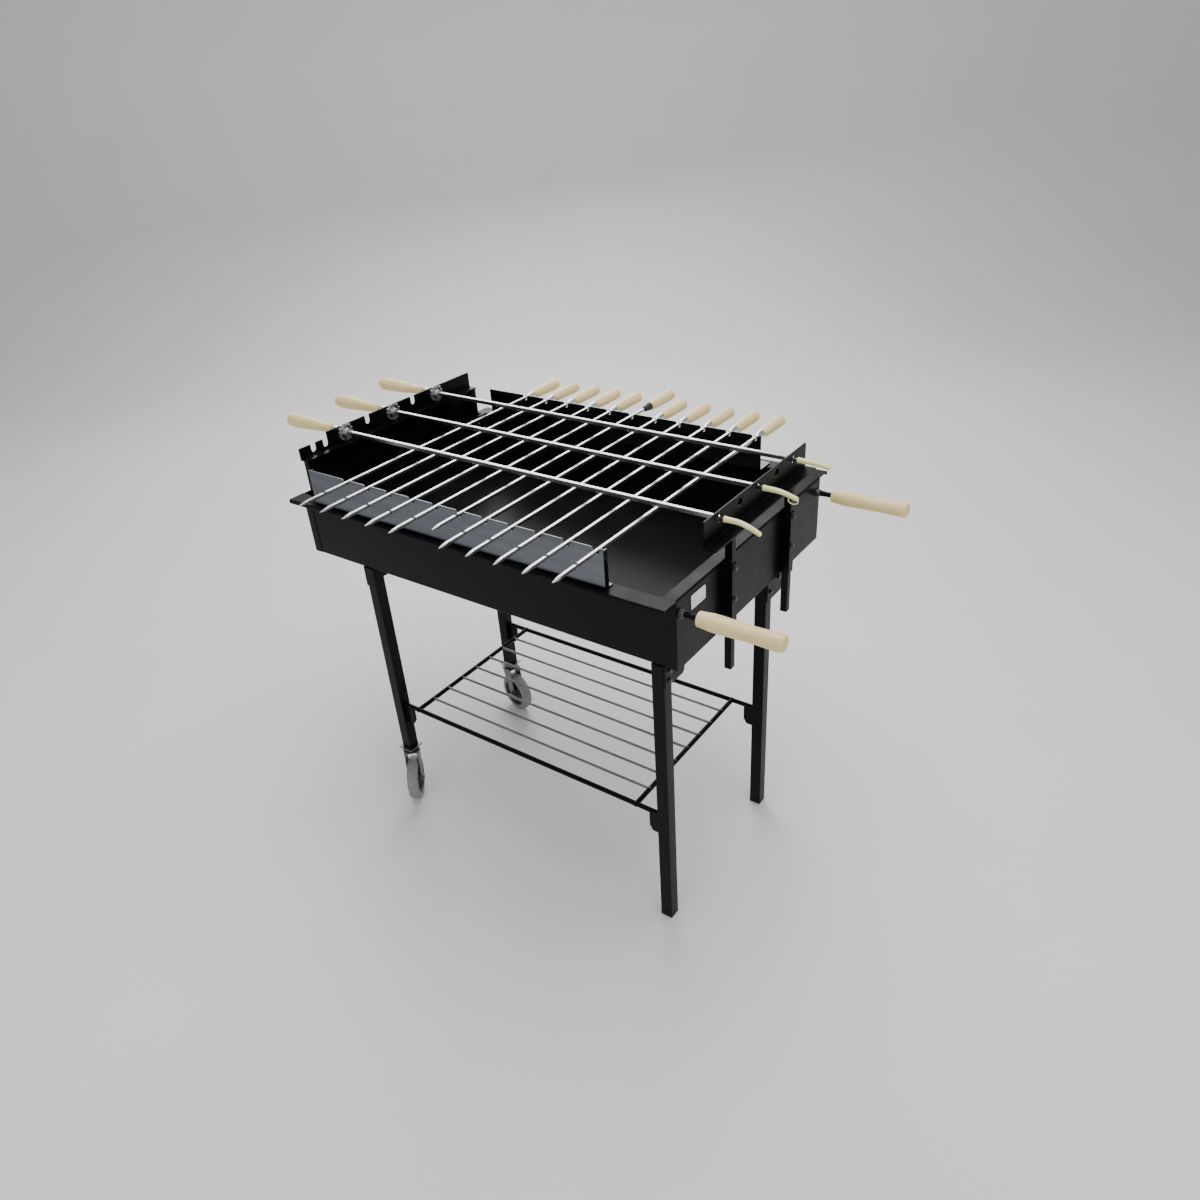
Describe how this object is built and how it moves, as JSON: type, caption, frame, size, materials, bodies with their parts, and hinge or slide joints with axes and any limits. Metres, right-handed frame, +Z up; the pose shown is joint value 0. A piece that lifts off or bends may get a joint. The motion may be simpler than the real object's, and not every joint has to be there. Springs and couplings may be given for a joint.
{
  "type": "rotisserie spit roaster",
  "caption": "Open charcoal spit roaster: a sheet-steel firebox on legs and castors, long spits along it, small skewers across it, a wire shelf below and wooden grips.",
  "frame": {"origin": "centre of the bounding box, on the floor", "axes": "+Z up; +X along the firebox from the spit grips towards the carry handles; +Y from the skewer tips towards the skewer grips"},
  "size_m": [1.257, 0.8252, 0.847],
  "materials": {
    "black_paint": "satin",
    "blued_steel": "satin",
    "stainless": "satin",
    "zinc_plate": "satin",
    "pine": "matte",
    "grey_tyre": "matte",
    "yellow_vinyl": "satin",
    "white_label": "matte"
  },
  "bodies": {
    "cart": {"firebox": "black_paint", "shelf": "black_paint", "label_plate": "white_label", "leg_front_left": "black_paint", "leg_front_right": "black_paint", "leg_rear_left": "black_paint", "leg_rear_right": "black_paint", "rack_front_plate": "blued_steel", "rack_rear_plate": "blued_steel", "carry_rod_front": "black_paint", "carry_grip_front": "pine", "castor_mount_front": "zinc_plate", "carry_rod_rear": "black_paint", "carry_grip_rear": "pine", "castor_mount_rear": "zinc_plate"},
    "left_rest": {"left_spit_rest": "black_paint", "left_post_front": "black_paint", "left_post_rear": "black_paint"},
    "right_rest": {"right_spit_rest": "black_paint", "right_post_front": "black_paint", "right_post_rear": "black_paint"},
    "spit_front": {"spit_rod_front": "stainless", "spit_grip_front": "pine", "spit_gear_front": "zinc_plate", "spit_tip_guard_front": "yellow_vinyl"},
    "spit_middle": {"spit_rod_middle": "stainless", "spit_grip_middle": "pine", "spit_gear_middle": "zinc_plate", "spit_tip_guard_middle": "yellow_vinyl"},
    "spit_rear": {"spit_rod_rear": "stainless", "spit_grip_rear": "pine", "spit_gear_rear": "zinc_plate", "spit_tip_guard_rear": "yellow_vinyl"},
    "skewer_01": {"skewer_rod_01": "stainless", "skewer_grip_01": "pine"},
    "skewer_02": {"skewer_rod_02": "stainless", "skewer_grip_02": "pine"},
    "skewer_03": {"skewer_rod_03": "stainless", "skewer_grip_03": "pine"},
    "skewer_04": {"skewer_rod_04": "stainless", "skewer_grip_04": "pine"},
    "skewer_05": {"skewer_rod_05": "stainless", "skewer_grip_05": "pine"},
    "skewer_06": {"skewer_rod_06": "stainless", "skewer_grip_06": "pine"},
    "skewer_07": {"skewer_rod_07": "stainless", "skewer_grip_07": "pine"},
    "skewer_08": {"skewer_rod_08": "stainless", "skewer_grip_08": "pine"},
    "skewer_09": {"skewer_rod_09": "stainless", "skewer_grip_09": "pine"},
    "skewer_10": {"skewer_rod_10": "stainless", "skewer_grip_10": "pine"},
    "skewer_11": {"skewer_rod_11": "stainless", "skewer_grip_11": "pine"},
    "castor_front": {"castor_fork_front": "zinc_plate"},
    "wheel_front": {"castor_wheel_front": "grey_tyre"},
    "castor_rear": {"castor_fork_rear": "zinc_plate"},
    "wheel_rear": {"castor_wheel_rear": "grey_tyre"}
  },
  "joints": [
    {"name": "left_rest_height", "type": "slide", "parent": "cart", "child": "left_rest", "axis": [0, 0, 1], "range_m": [0, 0.08]},
    {"name": "right_rest_height", "type": "slide", "parent": "cart", "child": "right_rest", "axis": [0, 0, 1], "range_m": [0, 0.08]},
    {"name": "spit_front_turn", "type": "hinge", "parent": "left_rest", "child": "spit_front", "pos_m": [-0.455, -0.13765, 0.828], "axis": [1, 0, 0], "continuous": true},
    {"name": "spit_middle_turn", "type": "hinge", "parent": "left_rest", "child": "spit_middle", "pos_m": [-0.455, 0.00035, 0.828], "axis": [1, 0, 0], "continuous": true},
    {"name": "spit_rear_turn", "type": "hinge", "parent": "left_rest", "child": "spit_rear", "pos_m": [-0.455, 0.13835, 0.828], "axis": [1, 0, 0], "continuous": true},
    {"name": "skewer_01_turn", "type": "hinge", "parent": "cart", "child": "skewer_01", "pos_m": [-0.2735, 0.24935, 0.807], "axis": [0, 1, 0], "continuous": true},
    {"name": "skewer_02_turn", "type": "hinge", "parent": "cart", "child": "skewer_02", "pos_m": [-0.2147, 0.24935, 0.807], "axis": [0, 1, 0], "continuous": true},
    {"name": "skewer_03_turn", "type": "hinge", "parent": "cart", "child": "skewer_03", "pos_m": [-0.1559, 0.24935, 0.807], "axis": [0, 1, 0], "continuous": true},
    {"name": "skewer_04_turn", "type": "hinge", "parent": "cart", "child": "skewer_04", "pos_m": [-0.0971, 0.24935, 0.807], "axis": [0, 1, 0], "continuous": true},
    {"name": "skewer_05_turn", "type": "hinge", "parent": "cart", "child": "skewer_05", "pos_m": [-0.0383, 0.24935, 0.807], "axis": [0, 1, 0], "continuous": true},
    {"name": "skewer_06_turn", "type": "hinge", "parent": "cart", "child": "skewer_06", "pos_m": [0.0205, 0.24935, 0.807], "axis": [0, 1, 0], "continuous": true},
    {"name": "skewer_07_turn", "type": "hinge", "parent": "cart", "child": "skewer_07", "pos_m": [0.0793, 0.24935, 0.807], "axis": [0, 1, 0], "continuous": true},
    {"name": "skewer_08_turn", "type": "hinge", "parent": "cart", "child": "skewer_08", "pos_m": [0.1381, 0.24935, 0.807], "axis": [0, 1, 0], "continuous": true},
    {"name": "skewer_09_turn", "type": "hinge", "parent": "cart", "child": "skewer_09", "pos_m": [0.1969, 0.24935, 0.807], "axis": [0, 1, 0], "continuous": true},
    {"name": "skewer_10_turn", "type": "hinge", "parent": "cart", "child": "skewer_10", "pos_m": [0.2557, 0.24935, 0.807], "axis": [0, 1, 0], "continuous": true},
    {"name": "skewer_11_turn", "type": "hinge", "parent": "cart", "child": "skewer_11", "pos_m": [0.3145, 0.24935, 0.807], "axis": [0, 1, 0], "continuous": true},
    {"name": "castor_front_swivel", "type": "hinge", "parent": "cart", "child": "castor_front", "pos_m": [-0.2905, -0.26165, 0.124], "axis": [0, 0, 1], "continuous": true},
    {"name": "wheel_front_roll", "type": "hinge", "parent": "castor_front", "child": "wheel_front", "pos_m": [-0.28141, -0.27358, 0.05], "axis": [0.7956, 0.6058, 0], "continuous": true},
    {"name": "castor_rear_swivel", "type": "hinge", "parent": "cart", "child": "castor_rear", "pos_m": [-0.3055, 0.11735, 0.124], "axis": [0, 0, 1], "continuous": true},
    {"name": "wheel_rear_roll", "type": "hinge", "parent": "castor_rear", "child": "wheel_rear", "pos_m": [-0.29097, 0.11364, 0.05], "axis": [0.2474, 0.9689, 0], "continuous": true}
  ],
  "couplings": [
    {"joint": "right_rest_height", "follows": "left_rest_height", "ratio": 1}
  ]
}
